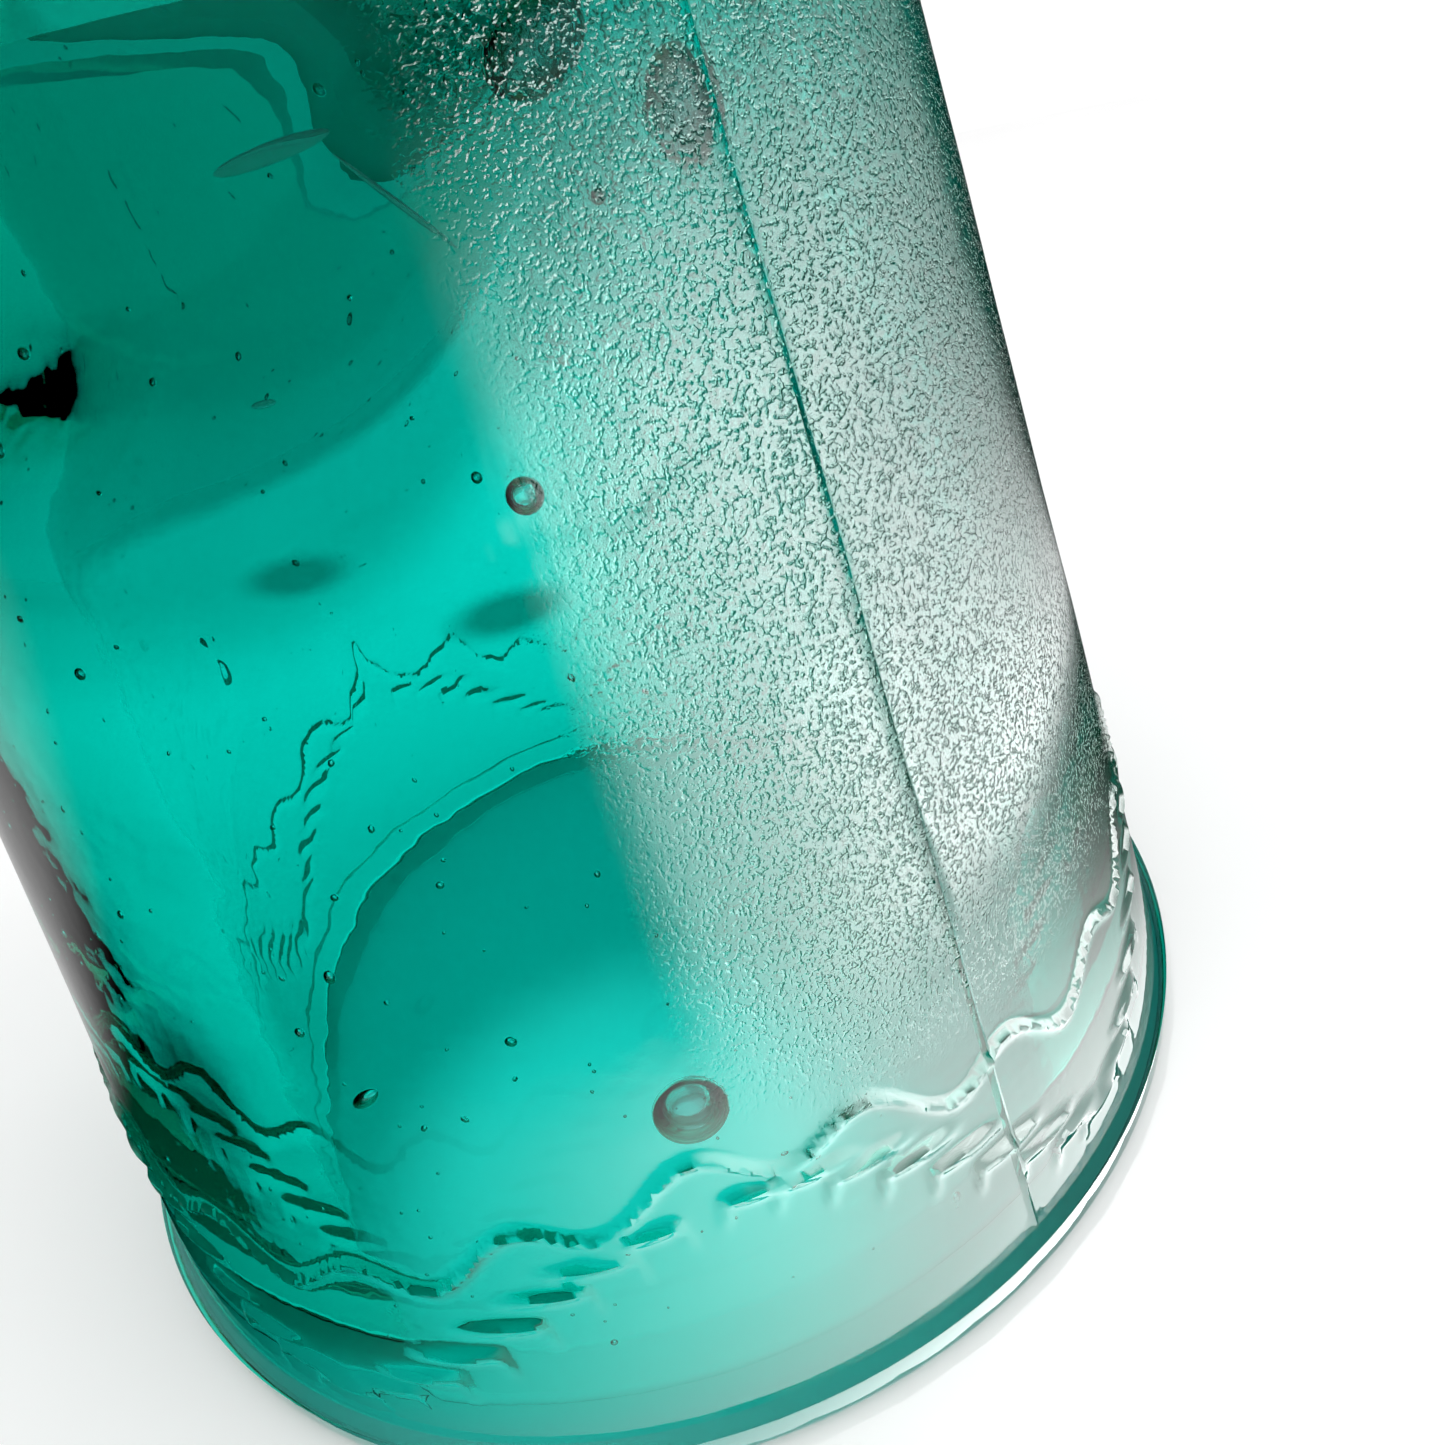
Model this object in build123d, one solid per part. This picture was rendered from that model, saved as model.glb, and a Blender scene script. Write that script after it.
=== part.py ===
"""Pin-type glass insulator with a screw-in thread sleeve.

The glass is one pressing: rounded crown, wire groove, tall flared skirt and a threaded pinhole in its roof.
A polyethylene sleeve screws into the pinhole. Its bore carries the thread that takes the steel pin.
A rubber ring on the sleeve's flange seats against the roof of the skirt.
+Z is up, the origin is the centre of the flat rim that the glass stands on. Units are millimetres.
Radii are chained outwards from the pin thread, and heights down from the crown.
"""

from build123d import *
import math
import os

# Overall height and its share-out, from the crown down
HEIGHT = 140.0
CROWN_HEIGHT = 22.5           # rounded top of the crown
CROWN_SHOULDER_RADIUS = 14.0  # rounding between the lip and the ball-shaped cap
LIP_BAND = 9.5                # straight band of the crown's lip
LIP_INSET = 0.8               # how far the lip stands in from the top of the skirt
GROOVE_HEIGHT = 16.0          # wire groove, from the skirt's top to the lip
GROOVE_DEPTH = 6.6            # from the skirt's top in to the waist
SOLID_CROWN = 20.0            # glass above the pinhole
ROOF_THICKNESS = 12.0         # from the roof of the skirt up to the wire groove

# Foot and skirt
FOOT_RADIUS = 44.0            # widest radius, on the foot band
FOOT_EDGE = 1.4               # rounding between the band and the flat rim
FOOT_BAND_HEIGHT = 3.4        # height of the ring line where the mould halves meet the base plate
RING_STEP = 0.9               # how far the skirt stands in from the foot band at that line
RING_STEP_RISE = 0.4
SKIRT_WALL = 9.0              # thickness of the skirt at the rim
SKIRT_WALL_TOP = 7.0          # thickness of the skirt where it turns into the roof
ROOF_ROUNDING = 6.0           # inside corner between the skirt and its roof
ROOF_LAND = 4.6               # flat ring of the roof, outside the thread

# Thread between the sleeve and the glass
PITCH = 6.35                  # four turns to the inch
THREAD_DEPTH = 1.6
GROOVE_MOUTH_WIDTH = 4.4      # width of the thread groove in the glass, at its crest
GROOVE_ROOT_WIDTH = 2.2
THREAD_CLEARANCE = 0.3        # gap on every face of the thread
THREAD_RUN_IN = 4.0           # plain counterbore below the thread
THREAD_END_GAP = 10.0         # plain pinhole above the thread
PINHOLE_DOME = 5.0            # height of the pinhole's domed end

# Sleeve and ring
PIN_CREST_RADIUS = 8.5        # bore of the sleeve between the turns of the pin thread
PIN_THREAD_DEPTH = 1.0
PIN_GROOVE_MOUTH_WIDTH = 1.5
PIN_GROOVE_ROOT_WIDTH = 0.8
PIN_LEAD_IN = 1.2             # chamfer at the mouth of the bore
SLEEVE_WALL = 2.4             # between the pin thread and the outer thread
SLEEVE_END_WALL = 3.0
SLEEVE_END_ROOM = 1.0         # from the sleeve's closed end up to the foot of the dome
SLEEVE_EDGE = 1.0             # chamfer of the closed end
FLANGE_INSET = 0.4            # how far the flange stands in from the edge of the roof's flat ring
FLANGE_THICKNESS = 2.6
FLANGE_EDGE = 0.6
SPANNER_SLOTS = 4
SLOT_WIDTH = 3.6
SLOT_DEPTH = 2.0
RING_THICKNESS = 1.8
RING_INSET = 0.5              # how far the ring stands in from the flange's edge
RING_BORE_GAP = 0.3           # between the ring and the sleeve's thread
SEAT_GAP = 0.05               # between the ring and the glass

# Cutting and joining allowances
CUT_MARGIN = 1.0              # how far a cutting body runs past the face that it opens
THREAD_OVERLAP = 0.4          # how far a thread body runs into the wall that it grows from
SAME_POINT = 1e-6             # ends of an outline's stops that are nearer than this already meet

lip_top = HEIGHT - CROWN_HEIGHT
lip_bottom = lip_top - LIP_BAND
skirt_height = lip_bottom - GROOVE_HEIGHT
roof_height = skirt_height - ROOF_THICKNESS
roof_turn_height = roof_height - ROOF_ROUNDING
pinhole_top = HEIGHT - SOLID_CROWN
dome_foot = pinhole_top - PINHOLE_DOME
thread_start = roof_height + THREAD_RUN_IN
thread_turns = (pinhole_top - THREAD_END_GAP - roof_height) / PITCH

sleeve_root_radius = PIN_CREST_RADIUS + PIN_THREAD_DEPTH + SLEEVE_WALL
sleeve_crest_radius = sleeve_root_radius + THREAD_DEPTH
glass_crest_radius = sleeve_root_radius + THREAD_CLEARANCE
glass_root_radius = glass_crest_radius + THREAD_DEPTH
counterbore_radius = glass_root_radius + THREAD_CLEARANCE
roof_land_radius = glass_root_radius + ROOF_LAND
roof_radius = roof_land_radius + ROOF_ROUNDING

skirt_foot_radius = FOOT_RADIUS - RING_STEP
skirt_slope = (skirt_foot_radius - SKIRT_WALL_TOP - roof_radius) / (roof_turn_height - FOOT_BAND_HEIGHT)
skirt_top_radius = skirt_foot_radius - skirt_slope * (skirt_height - FOOT_BAND_HEIGHT)
lip_radius = skirt_top_radius - LIP_INSET
mouth_radius = skirt_foot_radius - SKIRT_WALL
inner_slope = (mouth_radius - roof_radius) / roof_turn_height

flange_radius = roof_land_radius - FLANGE_INSET
ring_bottom = roof_height - SEAT_GAP - RING_THICKNESS
flange_bottom = ring_bottom - FLANGE_THICKNESS
sleeve_top = dome_foot - SLEEVE_END_ROOM
bore_top = sleeve_top - SLEEVE_END_WALL


def on_circle(centre, radius, degrees):
    """A point of a circle in an outline, as (radius, height)."""
    angle = math.radians(degrees)
    return (centre[0] + radius * math.cos(angle), centre[1] + radius * math.sin(angle))


def arc(centre, radius, start, end):
    """An outline's arc between two angles in degrees."""
    middle = (start + end) / 2
    return ThreePointArc(*(on_circle(centre, radius, degrees) for degrees in (start, middle, end)))


def turned(*stops):
    """A solid turned about Z. Its outline's stops are arcs and (radius, height) points, joined by lines."""
    ends = [(stop @ 0, stop @ 1) if isinstance(stop, Edge) else (Vector(*stop), Vector(*stop)) for stop in stops]
    edges = [stop for stop in stops if isinstance(stop, Edge)]
    for (_, here), (there, _) in zip(ends, ends[1:] + ends[:1]):
        if (there - here).length > SAME_POINT:
            edges.append(Line(here, there))
    return revolve(Plane.XZ * make_face(edges), Axis.Z)


def upright(radius, bottom, height):
    """A plain cylinder that stands on a height."""
    return Pos(0, 0, bottom) * Cylinder(radius, height, align=(Align.CENTER, Align.CENTER, Align.MIN))


def thread_body(radius, mouth_width, root_width, depth, bottom, turns):
    """A right-hand thread that starts at angle zero and grows outwards from a wall of the given radius.

    The flanks are carried on by THREAD_OVERLAP into the wall.
    """
    mouth = mouth_width + (mouth_width - root_width) * THREAD_OVERLAP / depth
    reach = depth + THREAD_OVERLAP
    path = Pos(0, 0, bottom) * Helix(pitch=PITCH, height=PITCH * turns, radius=radius - THREAD_OVERLAP)
    section = Plane(origin=path @ 0, x_dir=(1, 0, 0), z_dir=path % 0)
    outline = Polyline(
        (0, -mouth / 2), (reach, -root_width / 2), (reach, root_width / 2), (0, mouth / 2), close=True
    )
    return sweep(section * make_face(outline), path=path, is_frenet=True)


def glass_outside():
    """The full glass with no hollow in it."""
    groove = ThreePointArc(
        (skirt_top_radius, skirt_height),
        (skirt_top_radius - GROOVE_DEPTH, skirt_height + GROOVE_HEIGHT / 2),
        (lip_radius, lip_bottom),
    )
    shoulder_centre = (lip_radius - CROWN_SHOULDER_RADIUS, lip_top)
    cap_radius = (shoulder_centre[0] ** 2 + CROWN_HEIGHT**2 - CROWN_SHOULDER_RADIUS**2) / (
        2 * (CROWN_HEIGHT - CROWN_SHOULDER_RADIUS)
    )
    cap_centre = (0, HEIGHT - cap_radius)
    cap_start = math.degrees(math.atan2(lip_top - cap_centre[1], shoulder_centre[0]))
    return turned(
        (0, 0),
        arc((FOOT_RADIUS - FOOT_EDGE, FOOT_EDGE), FOOT_EDGE, -90, 0),
        (FOOT_RADIUS, FOOT_BAND_HEIGHT - RING_STEP_RISE),
        (skirt_foot_radius, FOOT_BAND_HEIGHT),
        groove,
        arc(shoulder_centre, CROWN_SHOULDER_RADIUS, 0, cap_start),
        arc(cap_centre, cap_radius, cap_start, 90),
    )


def under_skirt_space():
    """The open space inside the skirt, up to its flat roof."""
    return turned(
        (0, -CUT_MARGIN),
        (mouth_radius + inner_slope * CUT_MARGIN, -CUT_MARGIN),
        arc((roof_land_radius, roof_turn_height), ROOF_ROUNDING, 0, 90),
        (0, roof_height),
    )


def pinhole():
    """The pinhole at thread crest size, with its domed end and the counterbore at its mouth."""
    dome_radius = (glass_crest_radius**2 + PINHOLE_DOME**2) / (2 * PINHOLE_DOME)
    dome_centre = (0, pinhole_top - dome_radius)
    dome_start = math.degrees(math.acos(glass_crest_radius / dome_radius))
    return turned(
        (0, roof_height - CUT_MARGIN),
        (counterbore_radius, roof_height - CUT_MARGIN),
        (counterbore_radius, thread_start - CUT_MARGIN),
        (glass_crest_radius, thread_start),
        arc(dome_centre, dome_radius, dome_start, 90),
    )


def glass_body():
    """The pressed glass, with its thread cut into the pinhole."""
    thread_groove = thread_body(
        glass_crest_radius,
        GROOVE_MOUTH_WIDTH,
        GROOVE_ROOT_WIDTH,
        THREAD_DEPTH,
        roof_height,
        thread_turns,
    )
    return glass_outside() - under_skirt_space() - pinhole() - thread_groove


def thread_sleeve():
    """The sleeve: closed end up, flange with spanner slots, thread outside and pin thread inside."""
    barrel = upright(sleeve_root_radius, flange_bottom, sleeve_top - flange_bottom)
    barrel = chamfer(barrel.edges().group_by(Axis.Z)[-1], SLEEVE_EDGE)
    flange = upright(flange_radius, flange_bottom, FLANGE_THICKNESS)
    flange = chamfer(flange.edges().filter_by(GeomType.CIRCLE), FLANGE_EDGE)
    ridge = thread_body(
        sleeve_root_radius,
        GROOVE_MOUTH_WIDTH - 2 * THREAD_CLEARANCE,
        GROOVE_ROOT_WIDTH - 2 * THREAD_CLEARANCE,
        THREAD_DEPTH,
        roof_height + PITCH,
        thread_turns - 2,
    )
    slots = [
        Rot(0, 0, 360 / SPANNER_SLOTS * turn)
        * Pos(flange_radius, 0, flange_bottom + FLANGE_THICKNESS / 2)
        * Box(2 * SLOT_DEPTH, SLOT_WIDTH, FLANGE_THICKNESS)
        for turn in range(SPANNER_SLOTS)
    ]
    bore = upright(PIN_CREST_RADIUS, flange_bottom, bore_top - flange_bottom)
    lead_in = Pos(0, 0, flange_bottom) * Cone(
        PIN_CREST_RADIUS + PIN_LEAD_IN,
        PIN_CREST_RADIUS,
        PIN_LEAD_IN,
        align=(Align.CENTER, Align.CENTER, Align.MIN),
    )
    pin_groove = thread_body(
        PIN_CREST_RADIUS,
        PIN_GROOVE_MOUTH_WIDTH,
        PIN_GROOVE_ROOT_WIDTH,
        PIN_THREAD_DEPTH,
        flange_bottom - PITCH / 2,
        (bore_top - flange_bottom) / PITCH,
    )
    return barrel + ridge + flange - slots - bore - lead_in - pin_groove


def seat_ring():
    """The rubber ring between the sleeve's flange and the roof of the skirt."""
    ring = upright(flange_radius - RING_INSET, ring_bottom, RING_THICKNESS)
    return ring - upright(sleeve_crest_radius + RING_BORE_GAP, ring_bottom, RING_THICKNESS)


PARTS = {"glass_body": glass_body, "thread_sleeve": thread_sleeve, "seat_ring": seat_ring}

os.makedirs("parts", exist_ok=True)
for name, build in PARTS.items():
    shape = build()
    print(name, "volume", round(shape.volume), "solids", len(shape.solids()))
    export_step(shape, f"parts/{name}.step")
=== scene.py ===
# %% [markdown]
# # A teal glass insulator
# The insulator is one heavy pressing of bubbly teal glass: a rounded crown, a wire groove and a tall skirt.
# A plastic sleeve screws into its pinhole, with a rubber ring under the roof of the skirt.
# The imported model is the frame. It gives the bodies, the nodes and where everything is, so nothing is fitted.

import math
import random

import bmesh
import bpy
from mathutils import Euler, Matrix, Vector, noise


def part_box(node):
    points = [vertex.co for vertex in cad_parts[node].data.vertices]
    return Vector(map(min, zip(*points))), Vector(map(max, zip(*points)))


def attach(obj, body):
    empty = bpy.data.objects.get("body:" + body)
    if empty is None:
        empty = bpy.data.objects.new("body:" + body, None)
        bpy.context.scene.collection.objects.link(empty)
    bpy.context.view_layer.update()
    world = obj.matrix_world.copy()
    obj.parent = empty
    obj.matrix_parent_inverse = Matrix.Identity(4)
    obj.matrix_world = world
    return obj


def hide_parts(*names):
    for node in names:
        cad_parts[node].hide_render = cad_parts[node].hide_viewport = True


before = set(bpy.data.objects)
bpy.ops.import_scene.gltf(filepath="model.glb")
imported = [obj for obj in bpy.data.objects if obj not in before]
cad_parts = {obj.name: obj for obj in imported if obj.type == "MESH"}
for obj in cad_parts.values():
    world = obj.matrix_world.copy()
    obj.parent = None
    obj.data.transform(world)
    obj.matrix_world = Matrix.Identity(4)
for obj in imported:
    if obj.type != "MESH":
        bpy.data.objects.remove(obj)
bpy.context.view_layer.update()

# %% [markdown]
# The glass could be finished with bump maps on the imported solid, but its ornament, its seam and its bubbles
# bend the light, so they have to be real shapes. The solid is therefore turned again as a finer shell.
# Its overall sizes come from the frame, and the rest repeats the sizes the glass was designed with.

# %% Sizes of the glass, in metres
MM = 0.001
SAME_PLACE = 1e-6
ON_SURFACE = 0.05 * MM
MARGIN = 0.1 * MM
glass_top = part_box("glass_body")[1]
FOOT_RADIUS = glass_top[0]
HEIGHT = glass_top[2]
CROWN_HEIGHT = 22.5 * MM
SHOULDER_RADIUS = 14.0 * MM
LIP_BAND = 9.5 * MM
LIP_INSET = 0.8 * MM
GROOVE_HEIGHT = 16.0 * MM
GROOVE_DEPTH = 6.6 * MM
FOOT_EDGE = 1.4 * MM
BAND_HEIGHT = 3.4 * MM
RING_STEP = 0.9 * MM
RING_STEP_RISE = 0.4 * MM
WALL_AT_RIM = 9.0 * MM
WALL_AT_ROOF = 7.0 * MM
ROOF_ROUNDING = 6.0 * MM
ROOF_LAND = 4.6 * MM
PITCH = 6.35 * MM
THREAD_DEPTH = 1.6 * MM
CREST_RADIUS = 12.2 * MM
COUNTERBORE_GAP = 0.3 * MM
THREAD_RUN_IN = 4.0 * MM
THREAD_END_GAP = 10.0 * MM
DOME_HEIGHT = 5.0 * MM
SEAT_GAP = 0.05 * MM
SOLID_CROWN = 20.0 * MM

lip_top = HEIGHT - CROWN_HEIGHT
lip_bottom = lip_top - LIP_BAND
skirt_top = lip_bottom - GROOVE_HEIGHT
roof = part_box("seat_ring")[1][2] + SEAT_GAP
roof_turn = roof - ROOF_ROUNDING
pinhole_top = HEIGHT - SOLID_CROWN
root_radius = CREST_RADIUS + THREAD_DEPTH
land_radius = root_radius + ROOF_LAND
cavity_radius = land_radius + ROOF_ROUNDING
skirt_foot = FOOT_RADIUS - RING_STEP
mouth_radius = skirt_foot - WALL_AT_RIM
slope = (skirt_foot - WALL_AT_ROOF - cavity_radius) / (roof_turn - BAND_HEIGHT)


def skirt_radius(height):
    """Outer radius of the plain skirt at a height."""
    return skirt_foot - slope * (height - BAND_HEIGHT)


def cavity_wall_radius(height):
    """Radius of the plain inner wall at a height."""
    return mouth_radius - (mouth_radius - cavity_radius) * height / roof_turn


lip_radius = skirt_radius(skirt_top) - LIP_INSET
print("skirt ends at", round(skirt_top / MM, 1), "mm, its roof is at", round(roof / MM, 1), "mm")

# %% [markdown]
# A turned piece starts as half of its outline, drawn as (radius, height) from the middle of the crown,
# down the outside, round the foot and up inside to the end of the pinhole.
# Straight stretches get rows where the surface will be worked, and round ones are arcs.

# %% Outline helpers
def arc(centre, radius, start, end, steps):
    """Points on a circle from one angle to another, in degrees."""
    turns = [math.radians(start + (end - start) * step / steps) for step in range(steps + 1)]
    return [(centre[0] + radius * math.cos(turn), centre[1] + radius * math.sin(turn)) for turn in turns]


def carry_on(points, end, steps):
    """Adds a straight stretch in equal steps from the last point of the outline."""
    start = points[-1]
    for step in range(1, steps + 1):
        points.append(tuple(a + (b - a) * step / steps for a, b in zip(start, end)))


def arc_between(low, deep, high, steps):
    """The arc through three points, from high to low, where deep is the innermost."""
    rise, depth = (high[1] - low[1]) / 2, (high[0] + low[0]) / 2 - deep[0]
    radius = (rise**2 + depth**2) / (2 * depth)
    centre = (deep[0] + radius, (high[1] + low[1]) / 2)
    first = 180 - math.degrees(math.atan2(high[1] - centre[1], centre[0] - high[0]))
    last = 180 + math.degrees(math.atan2(centre[1] - low[1], centre[0] - low[0]))
    return arc(centre, radius, first, last, steps)


# %% Outline of the outside
ORNAMENT_BOTTOM = 4.8 * MM
ORNAMENT_TOP = 24.0 * MM


def outside():
    """Half of the outline from the crown's middle down to the rim."""
    centre = (lip_radius - SHOULDER_RADIUS, lip_top)
    rise = CROWN_HEIGHT - SHOULDER_RADIUS
    cap_radius = (centre[0] ** 2 + CROWN_HEIGHT**2 - SHOULDER_RADIUS**2) / (2 * rise)
    cap_centre = (0.0, HEIGHT - cap_radius)
    meet = math.degrees(math.atan2(lip_top - cap_centre[1], centre[0]))
    points = arc(cap_centre, cap_radius, 90, meet, 12)
    points += arc(centre, SHOULDER_RADIUS, meet, 0, 12)[1:]
    carry_on(points, (lip_radius, lip_bottom + 0.6 * MM), 3)
    waist = (skirt_radius(skirt_top) - GROOVE_DEPTH, skirt_top + GROOVE_HEIGHT / 2)
    points += arc_between((skirt_radius(skirt_top), skirt_top), waist, (lip_radius, lip_bottom), 16)
    carry_on(points, (skirt_radius(ORNAMENT_TOP), ORNAMENT_TOP), 17)
    carry_on(points, (skirt_radius(ORNAMENT_BOTTOM), ORNAMENT_BOTTOM), 16)
    carry_on(points, (skirt_foot, BAND_HEIGHT), 2)
    points.append((FOOT_RADIUS, BAND_HEIGHT - RING_STEP_RISE))
    return points + arc((FOOT_RADIUS - FOOT_EDGE, FOOT_EDGE), FOOT_EDGE, 0, -90, 7)


# %% Outline of the inside
MOUTH_EDGE = 0.8 * MM


def inside():
    """Half of the outline from the rim up to the end of the pinhole."""
    points = arc((mouth_radius + MOUTH_EDGE, MOUTH_EDGE), MOUTH_EDGE, -90, -180, 4)
    carry_on(points, (cavity_wall_radius(roof_turn), roof_turn), 30)
    points += arc((land_radius, roof_turn), ROOF_ROUNDING, 0, 90, 7)[1:]
    counterbore = root_radius + COUNTERBORE_GAP
    carry_on(points, (counterbore + 0.4 * MM, roof), 2)
    points.append((counterbore, roof + 0.4 * MM))
    carry_on(points, (counterbore, roof + THREAD_RUN_IN - 1.0 * MM), 2)
    points.append((CREST_RADIUS, roof + THREAD_RUN_IN))
    carry_on(points, (CREST_RADIUS, pinhole_top - DOME_HEIGHT), 24)
    dome_radius = (CREST_RADIUS**2 + DOME_HEIGHT**2) / (2 * DOME_HEIGHT)
    start = math.degrees(math.acos(CREST_RADIUS / dome_radius))
    return points + arc((0.0, pinhole_top - dome_radius), dome_radius, start, 90, 8)[1:]


outline = outside() + inside()
print("outline points", len(outline))

# %% [markdown]
# The mould halves meet at two seams, opposite each other, so the first column of the spin lies on one of them.
# The spin merges its last column with its first.

# %% Spin the shell
COLUMNS = 240
SEAM_AZIMUTH = -67.0
shell = bmesh.new()
corners = [shell.verts.new((radius, 0.0, height)) for radius, height in outline]
lines = [shell.edges.new(pair) for pair in zip(corners, corners[1:])]
bmesh.ops.rotate(
    shell, verts=corners, cent=(0, 0, 0), matrix=Matrix.Rotation(math.radians(SEAM_AZIMUTH), 3, "Z")
)
bmesh.ops.spin(
    shell,
    geom=corners + lines,
    cent=(0, 0, 0),
    axis=(0, 0, 1),
    angle=math.tau,
    steps=COLUMNS,
    use_merge=True,
)
bmesh.ops.remove_doubles(shell, verts=shell.verts, dist=SAME_PLACE)
print("faces after the spin", len(shell.faces))


# %% [markdown]
# The ornament needs rows and columns about 0.4 mm apart, and the rest of the shell doesn't.
# So only the edges in the worked places are subdivided. A cut on each side of the seam's plane keeps its ridge
# narrow.

# %% Finer mesh where the surface is worked
def azimuth_of(point):
    """Angle round the axis in degrees, 0 at +X and -90 at -Y."""
    return math.degrees(math.atan2(point.y, point.x))


def is_skirt_outside(point):
    return abs(point.xy.length - skirt_radius(point.z)) < ON_SURFACE


def refine(low, high, from_azimuth, to_azimuth, cuts):
    """Subdivides the outer skirt between two heights and two azimuths."""
    edges = [
        edge
        for edge in shell.edges
        if all(
            low - SAME_PLACE < vert.co.z < high + SAME_PLACE
            and from_azimuth <= azimuth_of(vert.co) <= to_azimuth
            and is_skirt_outside(vert.co)
            for vert in edge.verts
        )
    ]
    bmesh.ops.subdivide_edges(shell, edges=edges, cuts=cuts, use_grid_fill=True)


CREASE_LOW = 48.0 * MM
CREASE_HIGH = 58.0 * MM
CREASE_FROM = -125
CREASE_TO = -64
refine(ORNAMENT_BOTTOM, ORNAMENT_TOP, -180, 180, 2)
refine(CREASE_LOW, CREASE_HIGH, CREASE_FROM, CREASE_TO, 6)

SEAM_HALF_WIDTH = 0.3 * MM
seam_turn = math.radians(SEAM_AZIMUTH)
seam_normal = Vector((-math.sin(seam_turn), math.cos(seam_turn), 0.0))
for offset in (-SEAM_HALF_WIDTH, SEAM_HALF_WIDTH):
    everything = list(shell.verts) + list(shell.edges) + list(shell.faces)
    bmesh.ops.bisect_plane(
        shell, geom=everything, dist=1e-7, plane_co=seam_normal * offset, plane_no=seam_normal
    )
print("faces after refining", len(shell.faces))

# %% [markdown]
# The border round the foot is a plain one: a wavy bead, and below it a swag of short slanted strokes.
# Each relief is a height in metres as a function of the place on the skirt, measured along the skirt.
# A rounded ridge is a bell curve of the distance to its middle line.

# %% Ornament
SWAGS = 5
SWAG_PEAK_AZIMUTH = -91.0
SWAG_ANGLE = 360 / SWAGS
ARC_PER_DEGREE = math.radians(1) * skirt_radius(12 * MM)
SWAG_LENGTH = SWAG_ANGLE * ARC_PER_DEGREE
ORNAMENT_FADE = 0.8 * MM
BEAD_HEIGHT = 0.38 * MM
BEAD_WIDTH = 0.36 * MM
STROKE_STEP = 3.0 * MM
# each is (length, direction away from the peak and up, half width, height)
STROKES = (
    (5.4 * MM, (0.98, -0.06), 0.46 * MM, 0.42 * MM),
    (2.2 * MM, (-0.30, -0.90), 0.28 * MM, 0.20 * MM),
)


def ridge(distance, width, height):
    """A rounded ridge, seen across its middle line."""
    return height * math.exp(-((distance / width) ** 2))


def twig_line(along):
    """Height of the swag's middle line, at a distance along the skirt from a swag's peak."""
    return 12.4 * MM + 6.0 * MM * math.cos(math.tau * along / SWAG_LENGTH)


def bead_line(along):
    """Height of the wavy bead."""
    phase = math.tau * along / SWAG_LENGTH
    return 18.2 * MM + 2.2 * MM * math.cos(phase) + 1.2 * MM * math.cos(5 * phase + 0.9)


def stroke_relief(along, height):
    """Relief of the strokes, each thick where it leaves the swag's middle line and thin at its tip."""
    nearest = round(along / STROKE_STEP)
    relief = 0.0
    for index in range(nearest - 3, nearest + 4):
        root = Vector((index * STROKE_STEP, twig_line(index * STROKE_STEP)))
        away = math.copysign(1.0, index * STROKE_STEP + MARGIN)
        for length, (aside, up), width, tall in STROKES:
            span = length * Vector((away * aside, up))
            place = Vector((along, height)) - root
            share = min(max(place.dot(span) / span.length_squared, 0.0), 1.0)
            taper = math.sin(math.pi * (0.25 + 0.73 * share)) ** 0.7
            distance = (place - span * share).length
            relief = max(relief, ridge(distance, width * (0.4 + 0.6 * taper), tall * taper))
    return relief


def ornament_relief(azimuth, height):
    """Relief of the whole border, which fades out towards the foot band."""
    from_peak = (azimuth - SWAG_PEAK_AZIMUTH + SWAG_ANGLE / 2) % SWAG_ANGLE - SWAG_ANGLE / 2
    along = from_peak * ARC_PER_DEGREE
    bead = ridge(height - bead_line(along), BEAD_WIDTH, BEAD_HEIGHT)
    fade = min(max((height - ORNAMENT_BOTTOM) / ORNAMENT_FADE, 0.0), 1.0)
    return max(bead, stroke_relief(along, height)) * fade


# %% [markdown]
# Pressed glass is never quite true. The outside waves a little, and the inside, where the plunger dragged
# through stiffening glass, waves more and keeps a thick bay under its roof, which is what makes the colour
# deep there. The bay stays outside the sweep of the sleeve.

# %% Unevenness of the walls
BAY_HEIGHT = 54.0 * MM
BAY_RISE = 0.0092 * MM
BAY_HALF_ANGLE = 114.0
BAY_EDGE = 15.0 * MM
BAY_DEPTH = 4.6 * MM
INNER_WAVE = 0.35 * MM
OUTER_WAVE = 0.10 * MM
SLEEVE_CLEARANCE = 0.6 * MM
swept_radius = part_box("thread_sleeve")[1][0] + SLEEVE_CLEARANCE


def smooth_step(value):
    """0 below 0, 1 above 1 and smooth in between."""
    value = min(max(value, 0.0), 1.0)
    return value * value * (3 - 2 * value)


def wave(point, size, seed):
    """Gentle noise between -1 and 1, whose bumps are about size across."""
    return noise.noise(point / size + Vector((seed, 0.0, 0.0)))


def bay_thickness(azimuth, height):
    """How much thicker the wall is in the bay, whose lower edge rises towards azimuth 0, where it has none."""
    bottom = BAY_HEIGHT + BAY_RISE * max(0.0, BAY_HALF_ANGLE - abs(azimuth)) ** 2
    return BAY_DEPTH * smooth_step((height - bottom) / BAY_EDGE)


def inner_relief(point, azimuth):
    """How far the inner wall stands in towards the axis."""
    fade = smooth_step(point.z / (6 * MM))
    relief = bay_thickness(azimuth, point.z) + INNER_WAVE * wave(point, 14 * MM, 3.0) * fade
    room = cavity_wall_radius(point.z) - swept_radius
    return min(relief, room)


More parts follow.
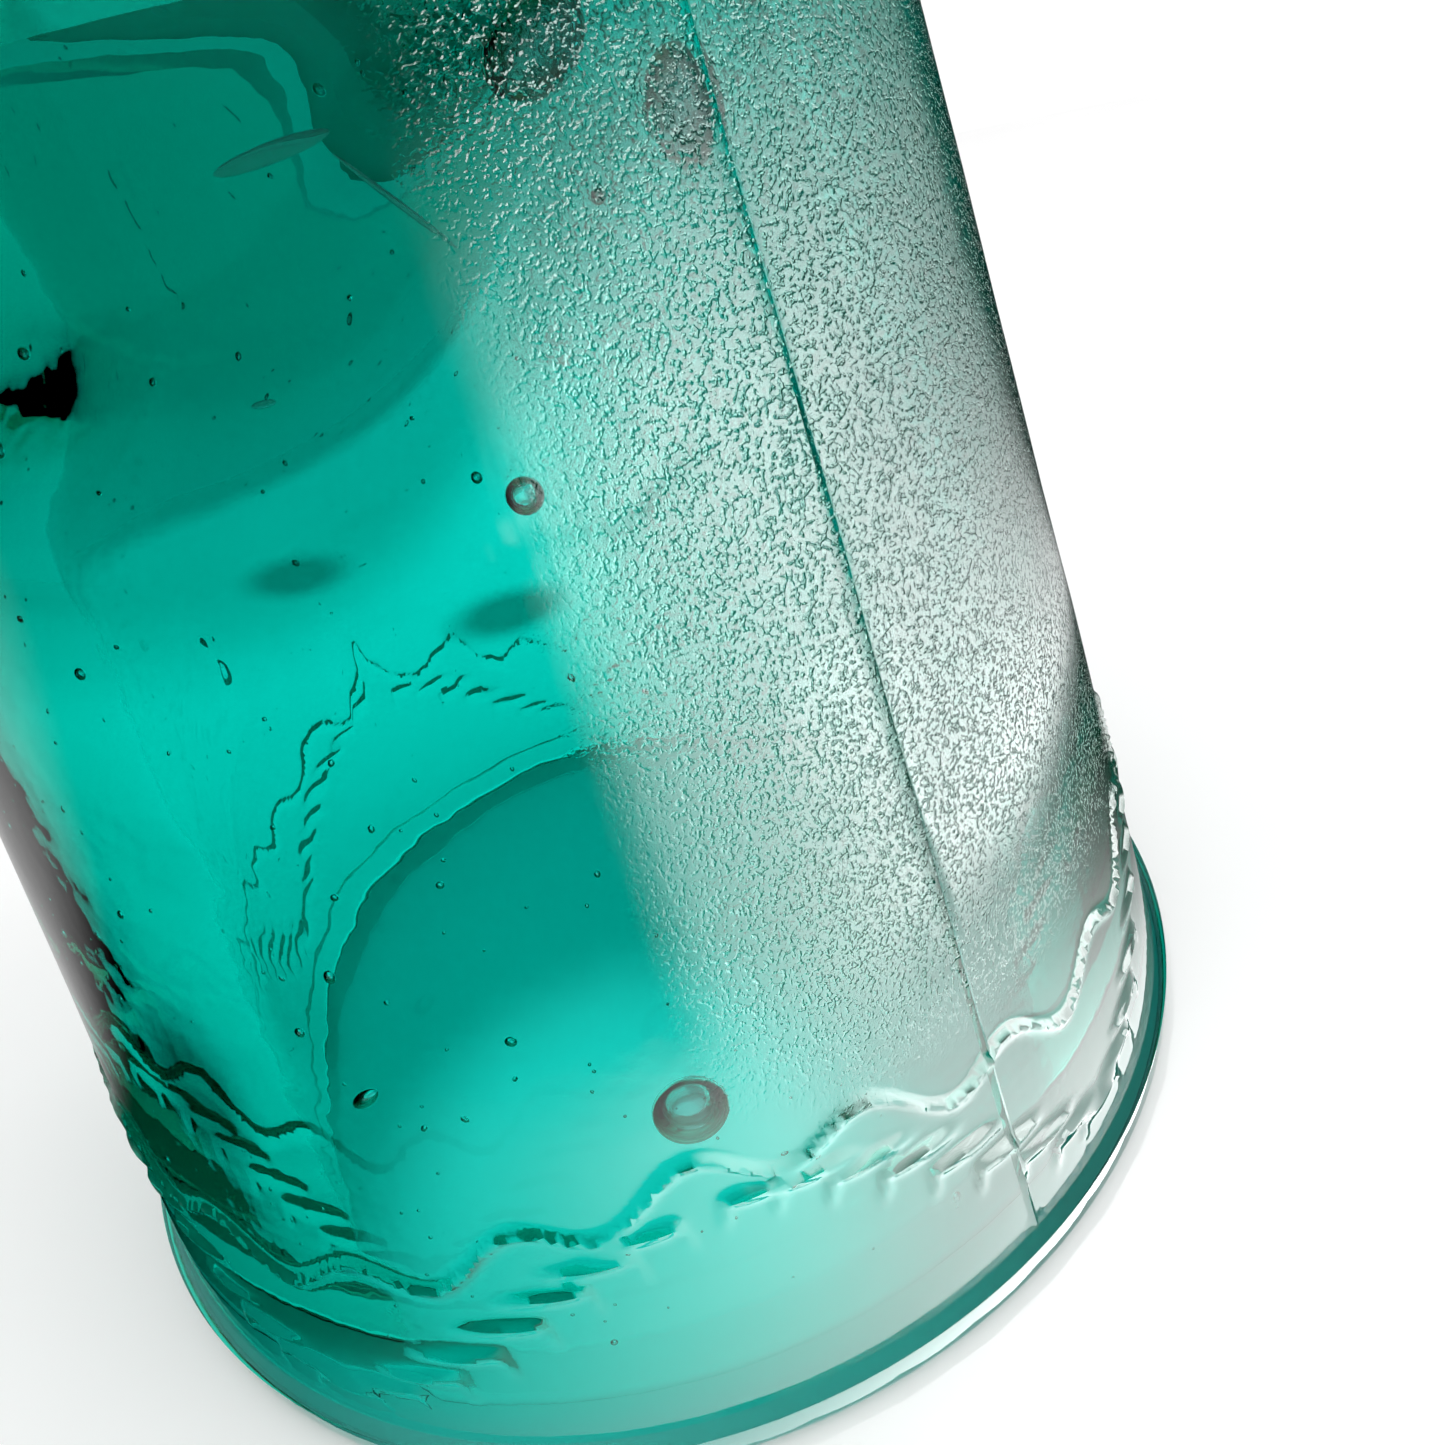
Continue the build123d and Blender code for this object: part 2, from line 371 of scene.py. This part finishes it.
def crease_relief(azimuth, height):
    """A shallow fold line that wavers round the skirt and fades at both ends."""
    fold = 50.6 * MM + 0.13 * MM * (azimuth + 118) - 0.0006 * MM * (azimuth + 118) ** 2
    fold += 0.5 * MM * math.sin(azimuth * 0.55)
    fade = smooth_step((azimuth - CREASE_FROM) / 10) * smooth_step((-72 - azimuth) / 10)
    return -ridge(height - fold, 0.34 * MM, 0.10 * MM) * fade


# %% [markdown]
# The pinhole has a coarse right-hand thread. Its wall has rows close enough together to be pushed out along
# a helix, which is simpler than sweeping a groove. The thread starts above the counterbore.

# %% Thread in the pinhole
THREAD_MOUTH = 4.7 * MM
THREAD_ROOT = 2.5 * MM


def thread_relief(azimuth, height):
    """Depth of the right-hand thread groove in the pinhole's wall."""
    if not roof + THREAD_RUN_IN - SAME_PLACE < height < pinhole_top - THREAD_END_GAP:
        return 0.0
    turn = ((height - roof) / PITCH - azimuth / 360) % 1.0
    distance = min(turn, 1 - turn) * PITCH
    share = (THREAD_MOUTH / 2 - distance) / ((THREAD_MOUTH - THREAD_ROOT) / 2)
    return THREAD_DEPTH * min(max(share, 0.0), 1.0)


# %% [markdown]
# Now every point of the shell is pushed straight out from the axis, or in towards it, by the reliefs of the
# surface it lies on. The original place decides which surface that is, so one pass over the points is enough.

# %% Work the surface
SEAM_RELIEF = 0.22 * MM
FAR_SEAM_RELIEF = 0.05 * MM
THINNEST_OUTSIDE = 3 * MM
AXIS_CLEARANCE = 1e-4


def on_seam(point):
    return abs(point.dot(seam_normal)) < SAME_PLACE and point.xy.length > AXIS_CLEARANCE


MIDDLE = 1e-5
worked = 0
for vert in shell.verts:
    point = vert.co.copy()
    radius = point.xy.length
    if radius < MIDDLE:
        continue
    azimuth = azimuth_of(point)
    outward = Vector((point.x / radius, point.y / radius, 0.0))
    height = point.z
    push = 0.0
    if is_skirt_outside(point) and height > BAND_HEIGHT + MARGIN:
        fade = smooth_step((height - BAND_HEIGHT) / (8 * MM))
        push += OUTER_WAVE * wave(point, 11 * MM, 0.0) * fade
        if ORNAMENT_BOTTOM < height < ORNAMENT_TOP + MARGIN:
            push += ornament_relief(azimuth, height)
        if CREASE_LOW < height < CREASE_HIGH and CREASE_FROM < azimuth < CREASE_TO:
            push += crease_relief(azimuth, height)
    elif height < roof_turn + MARGIN and abs(radius - cavity_wall_radius(height)) < ON_SURFACE:
        push -= inner_relief(point, azimuth)
    elif abs(radius - CREST_RADIUS) < ON_SURFACE and height > roof:
        push += thread_relief(azimuth, height)
    inner_limit = max(
        skirt_radius(skirt_top) - GROOVE_DEPTH - MARGIN, cavity_wall_radius(height) + THINNEST_OUTSIDE
    )
    if radius > inner_limit and height > BAND_HEIGHT - MARGIN and on_seam(point):
        push += SEAM_RELIEF if point.y < 0 else FAR_SEAM_RELIEF
    if push:
        vert.co += outward * push
        worked += 1
bmesh.ops.recalc_face_normals(shell, faces=shell.faces)
print("points worked", worked, "faces", len(shell.faces))

# %% [markdown]
# Bubbles are closed voids in the same mesh, with faces that look into the void, which is how a renderer
# reads a hollow. As separate balls they would each carry the glass's colour a second time.
# The few large ones are listed one by one and the many seeds are scattered with a fixed seed.

# %% Bubbles
voids = bmesh.new()


def add_void(azimuth, height, depth, size, tilt, detail):
    """A void under the outer skin: size is (round the axis, up, through the wall) across, in millimetres."""
    angle = math.radians(azimuth)
    reach = skirt_radius(height * MM) - depth * MM
    place = Vector((reach * math.cos(angle), reach * math.sin(angle), height * MM))
    turn = Matrix.Rotation(angle, 4, "Z") @ Matrix.Rotation(math.radians(tilt), 4, "X")
    around, up, through = size
    scale = Matrix.Diagonal((through * MM / 2, around * MM / 2, up * MM / 2, 1.0))
    bmesh.ops.create_icosphere(
        voids, subdivisions=detail, radius=1.0, matrix=Matrix.Translation(place) @ turn @ scale
    )


# each is (azimuth, height, depth, (around, up, through), tilt), in degrees and millimetres
LARGE_BUBBLES = {
    "foot_bubble": (-91.4, 22.8, 3.2, (4.0, 4.3, 3.2), 10),
    "roof_drop": (-77.5, 70.2, 2.8, (4.6, 3.2, 2.6), 30),
    "roof_blob": (-67.6, 67.0, 2.6, (3.4, 4.6, 2.6), -8),
    "round_bubble": (-88.4, 55.3, 1.8, (1.6, 1.6, 1.4), 0),
    "dark_blister": (-115.4, 28.1, 2.0, (2.0, 0.9, 0.8), 35),
    "back_bubble": (70.0, 47.0, 3.0, (3.4, 4.2, 2.8), 20),
    "side_bubble": (158.0, 36.0, 3.2, (2.8, 3.0, 2.4), 0),
    "crown_side_bubble": (20.0, 62.0, 2.6, (2.4, 3.6, 2.0), -15),
}
for name, (azimuth, height, depth, size, tilt) in LARGE_BUBBLES.items():
    add_void(azimuth, height, depth, size, tilt, 4 if max(size) > 3 else 3)
print("large bubbles", len(LARGE_BUBBLES))

# %% Seeds
SEEDS = 800
ROUND_SEED = 0.40
draw = random.Random(11)
for _ in range(SEEDS):
    azimuth = draw.uniform(-180, 180)
    height = draw.uniform(8, 86)
    size = 0.20 + 0.45 * draw.random() ** 5
    depth = draw.uniform(0.6, 5.5)
    stretched = (size, size * draw.uniform(1.0, 1.5), size)
    add_void(azimuth, height, depth, stretched, draw.uniform(-40, 40), 2 if size > ROUND_SEED else 1)
print("seeds", SEEDS, "void faces", len(voids.faces))

# %% Flat cracks inside the wall
CRACKS = (
    (-97.0, 69.0, 2.0, (4.4, 0.7, 0.06), 6),
    (-90.2, 66.5, 2.0, (0.25, 5.2, 0.06), 38),
    (-103.5, 61.0, 2.4, (1.0, 0.3, 0.05), 0),
)
for azimuth, height, depth, size, tilt in CRACKS:
    add_void(azimuth, height, depth, size, tilt, 3)
print("cracks", len(CRACKS))

# %% [markdown]
# The voids are turned inside out once, all together, and join the shell as one mesh. Edges sharper than 40
# degrees stay crisp and the rest is shaded smooth.

# %% Finish the shell
bmesh.ops.reverse_faces(voids, faces=voids.faces)
mesh = bpy.data.meshes.new("glass_shell")
voids.to_mesh(mesh)
voids.free()
shell.from_mesh(mesh)
shell.to_mesh(mesh)
shell.free()
mesh.shade_smooth()
mesh.set_sharp_from_angle(angle=math.radians(40))
glass = bpy.data.objects.new("glass_shell", mesh)
bpy.context.scene.collection.objects.link(glass)
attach(glass, "glass")
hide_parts("glass_body")
mesh.calc_loop_triangles()
print("glass triangles", len(mesh.loop_triangles))


# %% [markdown]
# Materials are written as expressions. One small class wraps a socket, and its operators add Math nodes.
# Every other node comes from one method, which takes the type, the settings and the sockets' values or links.

# %% Shader expressions
class Value:
    """A shader socket that can stand in a Python expression."""

    def __init__(self, tree, socket=None):
        self.tree = tree
        self.socket = socket

    def node(self, kind, settings, inputs, output=0):
        made = self.tree.nodes.new("ShaderNode" + kind)
        for name, setting in settings.items():
            if name == "stops":
                ramp = made.color_ramp
                while len(ramp.elements) < len(setting):
                    ramp.elements.new(1.0)
                for element, (position, colour) in zip(ramp.elements, setting):
                    element.position = position
                    element.color = (*colour, 1.0)
            else:
                setattr(made, name, setting)
        for name, value in inputs.items():
            if isinstance(value, Value):
                self.tree.links.new(value.socket, made.inputs[name])
            else:
                made.inputs[name].default_value = value
        return Value(self.tree, made.outputs[output])

    def math(self, operation, first, second=0.0):
        return self.node("Math", {"operation": operation}, {0: first, 1: second})

    def __add__(self, other):
        return self.math("ADD", self, other)

    def __sub__(self, other):
        return self.math("SUBTRACT", self, other)

    def __rsub__(self, other):
        return self.math("SUBTRACT", other, self)

    def __mul__(self, other):
        return self.math("MULTIPLY", self, other)

    def __pow__(self, other):
        return self.math("POWER", self, other)

    __radd__ = __add__
    __rmul__ = __mul__

    def between(self, low, high):
        """0 below low, 1 above high and smooth in between."""
        ends = {"Value": self, "From Min": low, "From Max": high}
        return self.node("MapRange", {"interpolation_type": "SMOOTHSTEP"}, ends)


def new_material(name, constants):
    """A material with its Principled shader's constant sockets set."""
    material = bpy.data.materials.new(name)
    material.use_nodes = True
    tree = material.node_tree
    shader = tree.nodes["Principled BSDF"]
    for socket, value in constants.items():
        shader.inputs[socket].default_value = value
    return material, tree, shader


def grain(place, scale, detail, roughness=0.5):
    """Noise between 0 and 1 at a scale in bumps per metre."""
    return place.node(
        "TexNoise", {}, {"Vector": place, "Scale": scale, "Detail": detail, "Roughness": roughness}
    )


def bump(height):
    """A normal for a height in metres."""
    return height.node("Bump", {}, {"Height": height, "Distance": 1.0, "Strength": 1.0})


def mixed(share, first, second):
    """Two colours mixed by a share between 0 and 1."""
    inputs = {"Factor": share}
    for socket, colour in {6: first, 7: second}.items():
        inputs[socket] = colour if isinstance(colour, Value) else (*colour, 1.0)
    return share.node("Mix", {"data_type": "RGBA", "clamp_factor": True}, inputs, 2)


# %% [markdown]
# Teal glass gets its colour from depth, so the colour is an absorption inside the solid.
# The mould left an orange-peel skin on one side and in patches, and the fire polish kept the rest smooth.
# Shade and light are painted on the skin as well. The bay is painted darker than its thickness gives, as painted
# shade. The side towards the window gets a painted grey veil of reflected light, and spots of painted shade stand
# for shadows: two lens-shaped ones, a dark patch on the left and the dark round two of the large bubbles.

# %% Painted shade, painted veil and thickness of the glass
# painted shade: darkens the bay more than its thickness does
BAY_SHADE_TINT = (0.40, 0.60, 0.57)
# painted reflection: a grey veil on the side towards the window
PAINTED_VEIL_TINT = (0.42, 0.50, 0.50)
# painted shade: the dark colour of the shadow spots
PAINTED_SHADE_TINT = (0.03, 0.17, 0.15)
CLEAR = (1.0, 1.0, 1.0)
ABSORBED = (0.0, 0.936, 0.907, 1)
ABSORPTION_PER_METRE = 420.0
SKIN_ROUGHNESS = 0.08
# spots of painted shade: two lens-shaped shadows and a dark patch on the left
# each is (azimuth, height, (around, up, through) radii), in degrees and millimetres
PAINTED_SHADE_PLACES = (
    (-92.0, 51.5, (3.4, 1.3, 3.0)),
    (-104.5, 55.0, (3.0, 1.1, 3.0)),
    (-131.0, 28.0, (5.0, 8.0, 3.0)),
)


# %% Teal glass
def painted_shade_spot(place, azimuth, height, radii, depth=0.0):
    """1 in the middle of a spot of painted shade and 0 outside it, with its radii and its depth in millimetres.
    """
    angle, (around, up, through) = math.radians(azimuth), radii
    reach = skirt_radius(height * MM) - depth * MM
    centre = (reach * math.cos(angle), reach * math.sin(angle), height * MM)
    scale = (through * MM, around * MM, up * MM)
    local = place.node(
        "Mapping",
        {"vector_type": "TEXTURE"},
        {"Vector": place, "Location": centre, "Rotation": (0, 0, angle), "Scale": scale},
    )
    from_middle = local.node("VectorMath", {"operation": "LENGTH"}, {0: local}, "Value")
    return 1.0 - from_middle.between(0.35, 1.0)


def painted_shade_spots(place):
    """The spots of painted shade, and the painted shade round two of the large bubbles."""
    painted_shade_sum = 0.0
    for azimuth, height, radii in PAINTED_SHADE_PLACES:
        painted_shade_sum = painted_shade_spot(place, azimuth, height, radii) + painted_shade_sum
    # painted shade round two large bubbles, darkening them as refraction would
    for name in ("foot_bubble", "roof_blob"):
        azimuth, height, depth, size, _ = LARGE_BUBBLES[name]
        radii = [0.8 * across for across in size]
        painted_shade_sum = painted_shade_sum + painted_shade_spot(place, azimuth, height, radii, depth) * 0.75
    return painted_shade_sum


def teal_glass():
    material, tree, shader = new_material("aqua_glass", {"Transmission Weight": 1.0, "IOR": 1.52})
    place = Value(tree).node("TexCoord", {}, {}, "Object")
    apart = tree.nodes.new("ShaderNodeSeparateXYZ")
    tree.links.new(place.socket, apart.inputs[0])
    x, y, z = (Value(tree, apart.outputs[name]) for name in "XYZ")
    patches = grain(place, 45.0, 2.0)
    skin = (x * 90.0 + patches * 0.5 - 0.20).between(0.0, 1.0) * z.between(0.018, 0.030)
    pits = grain(place, 4000.0, 1.0).between(0.50, 0.72)
    ripples = grain(place, 260.0, 2.0)
    normal = bump(pits * skin * -0.00010 + ripples * 0.00003)
    tree.links.new(normal.socket, shader.inputs["Normal"])
    tree.links.new((skin * SKIN_ROUGHNESS).socket, shader.inputs["Roughness"])
    turn = y.math("ABSOLUTE", y.math("ARCTAN2", y, x)) * math.degrees(1)
    rise = y.math("MAXIMUM", BAY_HALF_ANGLE - turn) ** 2.0 * BAY_RISE
    # where the bay's painted shade lies, above a lower edge that rises towards azimuth 0
    deep = (z - rise).between(BAY_HEIGHT - 4.5 * MM, BAY_HEIGHT - 0.5 * MM)
    # painted veil of reflected light on the +x side, towards the window, weaker higher up
    painted_veil = x.between(0.002, 0.022) * (1.0 - z.between(0.050, 0.070) * 0.5)
    with_bay_shade = mixed(deep, CLEAR, BAY_SHADE_TINT)
    with_painted_veil = mixed(painted_veil, with_bay_shade, PAINTED_VEIL_TINT)
    # the painted shade spots darken the colour last
    colour = mixed(painted_shade_spots(place), with_painted_veil, PAINTED_SHADE_TINT)
    tree.links.new(colour.socket, shader.inputs["Base Color"])
    absorbing = Value(tree).node("VolumeAbsorption", {}, {"Color": ABSORBED, "Density": ABSORPTION_PER_METRE})
    tree.links.new(absorbing.socket, tree.nodes["Material Output"].inputs["Volume"])
    return material


mesh.materials.append(teal_glass())


# %% [markdown]
# The sleeve is natural polyethylene: milky, a little translucent, with faint flow clouds and a soft sheen.
# The ring is brown rubber with a crumbly grain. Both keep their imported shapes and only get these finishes.

# %% Polyethylene and rubber
def polyethylene():
    material, tree, shader = new_material(
        "natural_polyethylene", {"Subsurface Weight": 0.25, "Subsurface Radius": (0.004, 0.004, 0.003)}
    )
    place = Value(tree).node("TexCoord", {}, {}, "Object")
    clouds = grain(place, 120.0, 3.0)
    scuffs = grain(place, 900.0, 4.0, 0.65)
    colour = clouds.node(
        "ValToRGB", {"stops": [(0.3, (0.70, 0.72, 0.64)), (0.7, (0.80, 0.81, 0.75))]}, {"Fac": clouds}
    )
    tree.links.new(colour.socket, shader.inputs["Base Color"])
    tree.links.new((scuffs * 0.25 + 0.28).socket, shader.inputs["Roughness"])
    tree.links.new(bump(scuffs * 0.00002).socket, shader.inputs["Normal"])
    return material


def ring_rubber():
    material, tree, shader = new_material("ring_rubber", {})
    place = Value(tree).node("TexCoord", {}, {}, "Object")
    crumbs = grain(place, 1400.0, 5.0, 0.7)
    bloom = grain(place, 150.0, 2.0)
    colour = crumbs.node(
        "ValToRGB", {"stops": [(0.35, (0.20, 0.13, 0.09)), (0.65, (0.34, 0.23, 0.16))]}, {"Fac": crumbs}
    )
    tree.links.new(colour.socket, shader.inputs["Base Color"])
    tree.links.new((bloom * 0.3 + 0.5).socket, shader.inputs["Roughness"])
    tree.links.new(bump(crumbs * 0.00006).socket, shader.inputs["Normal"])
    return material


for node, material in {"thread_sleeve": polyethylene(), "seat_ring": ring_rubber()}.items():
    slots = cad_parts[node].data.materials
    slots.clear()
    slots.append(material)
    print(node, "gets", material.name)


# %% [markdown]
# The set is a plain pale floor under an even white sky, with a weak window on the right.
# A soft glow in the floor lights the hollow of the skirt from below.

# %% Floor
GLOW_PLACE = (-0.008, -0.019, 0.0)
GLOW_RADIUS = 0.026
GLOW_CORE = 0.010
GLOW = 0.4


def pale_floor():
    material, tree, shader = new_material("pale_floor", {"Roughness": 0.7, "Emission Strength": 1.0})
    place = Value(tree).node("TexCoord", {}, {}, "Object")
    mottle = grain(place, 30.0, 3.0)
    colour = mottle.node(
        "ValToRGB", {"stops": [(0.2, (0.94, 0.94, 0.94)), (0.8, (0.97, 0.97, 0.97))]}, {"Fac": mottle}
    )
    tree.links.new(colour.socket, shader.inputs["Base Color"])
    away = place.node("VectorMath", {"operation": "DISTANCE"}, {0: place, 1: GLOW_PLACE}, "Value")
    glow = GLOW - away.between(GLOW_CORE, GLOW_RADIUS) * GLOW
    tree.links.new(glow.socket, shader.inputs["Emission Color"])
    return material


# the floor stands a hair above the foot, so light passes from the glass into it as through a wet rim
FLOOR_HEIGHT = 0.02 * MM
sheet = bmesh.new()
bmesh.ops.create_circle(
    sheet, cap_ends=True, segments=96, radius=4.0, matrix=Matrix.Translation((0, 0, FLOOR_HEIGHT))
)
floor_mesh = bpy.data.meshes.new("floor")
sheet.to_mesh(floor_mesh)
sheet.free()
floor = bpy.data.objects.new("floor", floor_mesh)
floor_mesh.materials.append(pale_floor())
bpy.context.scene.collection.objects.link(floor)

# %% [markdown]
# The camera stands about 10 cm from the foot, lower than the skirt's top edge, and looks down with a slight roll.
# So near, the foot looks much wider than the top of the skirt.

# %% Camera
CAMERA_PLACE = Vector((0.0, -77.05, 69.16)) * MM
CAMERA_TURN = (57.70, 12.21, -16.06)
camera_data = bpy.data.cameras.new("camera")
camera_data.sensor_width = 36.0
camera_data.lens = 27.06
camera_data.clip_start = 1 * MM  # the glass is only a few centimetres away
camera = bpy.data.objects.new("camera", camera_data)
bpy.context.scene.collection.objects.link(camera)
camera.location = CAMERA_PLACE
camera.rotation_euler = Euler([math.radians(turn) for turn in CAMERA_TURN])
bpy.context.scene.camera = camera

# %% [markdown]
# An even white sky does most of the lighting, with a weak area light on the right.

# %% Light
SKY = 1.08
world = bpy.data.worlds.new("studio")
bpy.context.scene.world = world
world.use_nodes = True
world.node_tree.nodes["Background"].inputs["Color"].default_value = (1, 1, 1, 1)
world.node_tree.nodes["Background"].inputs["Strength"].default_value = SKY

light = bpy.data.lights.new("window", "AREA")
light.shape = "RECTANGLE"
light.size, light.size_y = 0.75, 0.55
light.energy = 2.5
lamp = bpy.data.objects.new("window", light)
bpy.context.scene.collection.objects.link(lamp)
lamp.location = (0.62, -0.30, 0.34)
lamp.rotation_euler = (Vector((0, 0, 0.04)) - lamp.location).to_track_quat("-Z", "Y").to_euler()

# %% [markdown]
# The skin of glass shows whatever it mirrors, and a pale set would lay a grey veil over all of it.
# So a dome over the object is seen by mirror rays only: it glows like a bright window low on the right,
# and is nearly black in front on the left, which keeps the colour of that side deep.

# %% Dome that only mirror rays see
DOME_RADIUS = 0.60
FAR_LOBE_AZIMUTH = -41.0
NEAR_LOBE_AZIMUTH = -65.0
LEFT_EDGE_AZIMUTH = -86.0
HOT_SPOT = (0.126, -0.124, 0.0)
FAR_FROM, FAR_TO = 0.075, 0.098
FAR_LOBE = 12.5
NEAR_LOBE = 6.5
SPOT = 3.0
BEHIND = 0.6
OVERHEAD = 0.4


def towards(azimuth):
    """Level direction at an azimuth."""
    return (math.cos(math.radians(azimuth)), math.sin(math.radians(azimuth)), 0.0)


def dome_glow():
    material = bpy.data.materials.new("dome_glow")
    material.use_nodes = True
    tree = material.node_tree
    tree.nodes.remove(tree.nodes["Principled BSDF"])
    place = Value(tree).node("TexCoord", {}, {}, "Object")
    apart = tree.nodes.new("ShaderNodeSeparateXYZ")
    tree.links.new(place.socket, apart.inputs[0])
    height = Value(tree, apart.outputs["Z"])
    flat = place.node("VectorMath", {"operation": "MULTIPLY"}, {0: place, 1: (1, 1, 0)})
    reach = flat.node("VectorMath", {"operation": "LENGTH"}, {0: flat}, "Value")
    outwards = flat.node("VectorMath", {"operation": "NORMALIZE"}, {0: flat})
    side, near_side, past_edge = (
        outwards.node("VectorMath", {"operation": "DOT_PRODUCT"}, {0: outwards, 1: towards(azimuth)}, "Value")
        for azimuth in (FAR_LOBE_AZIMUTH, NEAR_LOBE_AZIMUTH, LEFT_EDGE_AZIMUTH + 90)
    )
    far_lobe = side.math("MAXIMUM", side) ** 4.2 * FAR_LOBE + side.between(0.2, 0.5)
    far_lobe = far_lobe * past_edge.between(-0.10, 0.10) * (1.0 - height.between(0.03, 0.26))
    near_lobe = near_side.math("MAXIMUM", near_side) ** 6.0 * NEAR_LOBE
    is_far = reach.between(FAR_FROM, FAR_TO)
    window = far_lobe * is_far + near_lobe * (1.0 - is_far)
    from_spot = place.node("VectorMath", {"operation": "DISTANCE"}, {0: place, 1: HOT_SPOT}, "Value")
    spot = 1.0 - from_spot.between(0.02, 0.06)
    behind = (0.0 - side).between(0.75, 0.95)
    glow = window + spot * SPOT + behind * BEHIND + height.between(0.25, 0.5) * OVERHEAD
    emission = tree.nodes.new("ShaderNodeEmission")
    tree.links.new(glow.socket, emission.inputs["Color"])
    tree.links.new(emission.outputs[0], tree.nodes["Material Output"].inputs["Surface"])
    return material


sheet = bmesh.new()
bmesh.ops.create_uvsphere(sheet, u_segments=48, v_segments=24, radius=DOME_RADIUS)
everything = list(sheet.verts) + list(sheet.edges) + list(sheet.faces)
bmesh.ops.bisect_plane(
    sheet, geom=everything, plane_co=(0, 0, 2 * FLOOR_HEIGHT), plane_no=(0, 0, 1), clear_inner=True
)
rim = [edge for edge in sheet.edges if edge.is_boundary]
drawn_in = bmesh.ops.extrude_edge_only(sheet, edges=rim)["geom"]
shrink = (FOOT_RADIUS + 0.6 * MM) / DOME_RADIUS
inner_ring = [item for item in drawn_in if isinstance(item, bmesh.types.BMVert)]
bmesh.ops.scale(sheet, verts=inner_ring, vec=(shrink, shrink, 1.0))
dome_mesh = bpy.data.meshes.new("mirror_dome")
sheet.to_mesh(dome_mesh)
sheet.free()
dome = bpy.data.objects.new("mirror_dome", dome_mesh)
dome_mesh.materials.append(dome_glow())
bpy.context.scene.collection.objects.link(dome)
for kind in ("camera", "diffuse", "transmission", "volume_scatter", "shadow"):
    setattr(dome, "visible_" + kind, False)
print("dome faces", len(dome_mesh.polygons))

# %% Picture settings
bpy.context.scene.view_settings.view_transform = "Standard"
bpy.context.scene.cycles.max_bounces = 24
bpy.context.scene.cycles.transmission_bounces = 24
